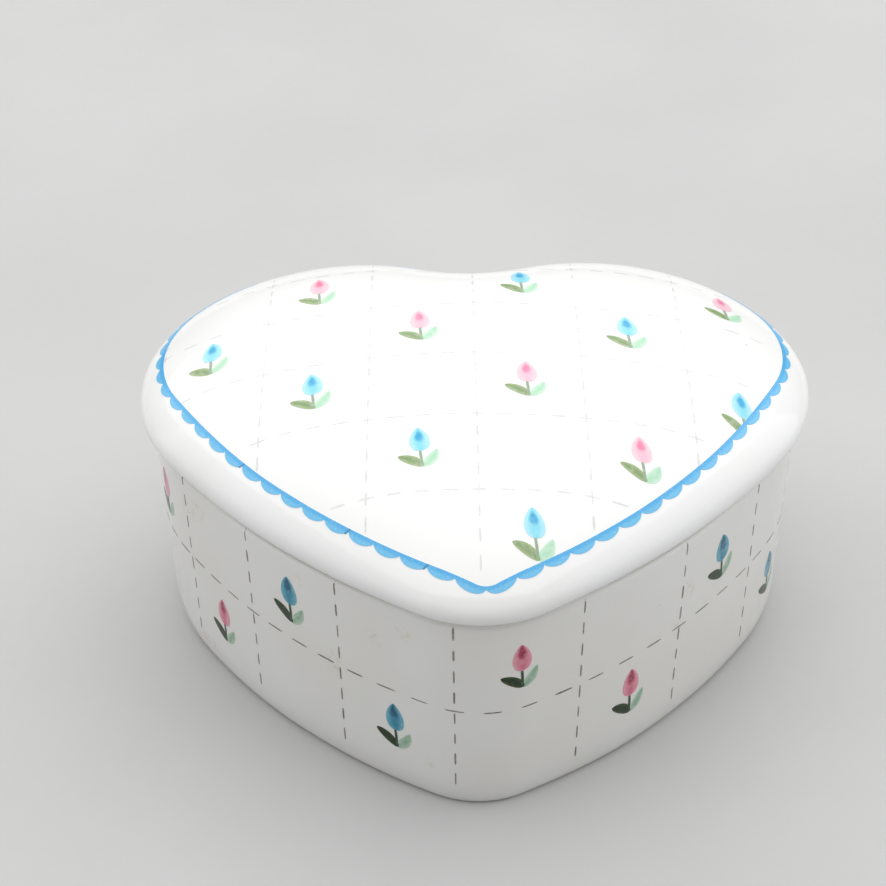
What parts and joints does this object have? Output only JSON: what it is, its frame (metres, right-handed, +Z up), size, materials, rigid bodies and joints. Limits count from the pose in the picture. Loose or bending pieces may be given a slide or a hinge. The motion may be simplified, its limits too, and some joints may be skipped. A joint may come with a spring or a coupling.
{
  "type": "heart-shaped trinket box",
  "caption": "Heart-shaped glazed porcelain trinket box: a cup with slightly drawn-in walls on a foot ring and a domed lift-off lid with an overhanging rounded edge and a locating flange.",
  "frame": {"origin": "on the table, under the middle of the lid's outline", "axes": "+Z up, the heart's tip points to -Y and its cleft to +Y, +X to the right seen from the tip"},
  "size_m": [0.088, 0.0745, 0.0408],
  "materials": {
    "base_porcelain": "glossy",
    "lid_porcelain": "glossy"
  },
  "bodies": {
    "base": {"box_base": "base_porcelain"},
    "lid": {"lid": "lid_porcelain"}
  },
  "joints": [
    {"name": "lid_lift", "type": "slide", "parent": "base", "child": "lid", "axis": [0, 0, 1], "range_m": [0, 0.05]}
  ]
}
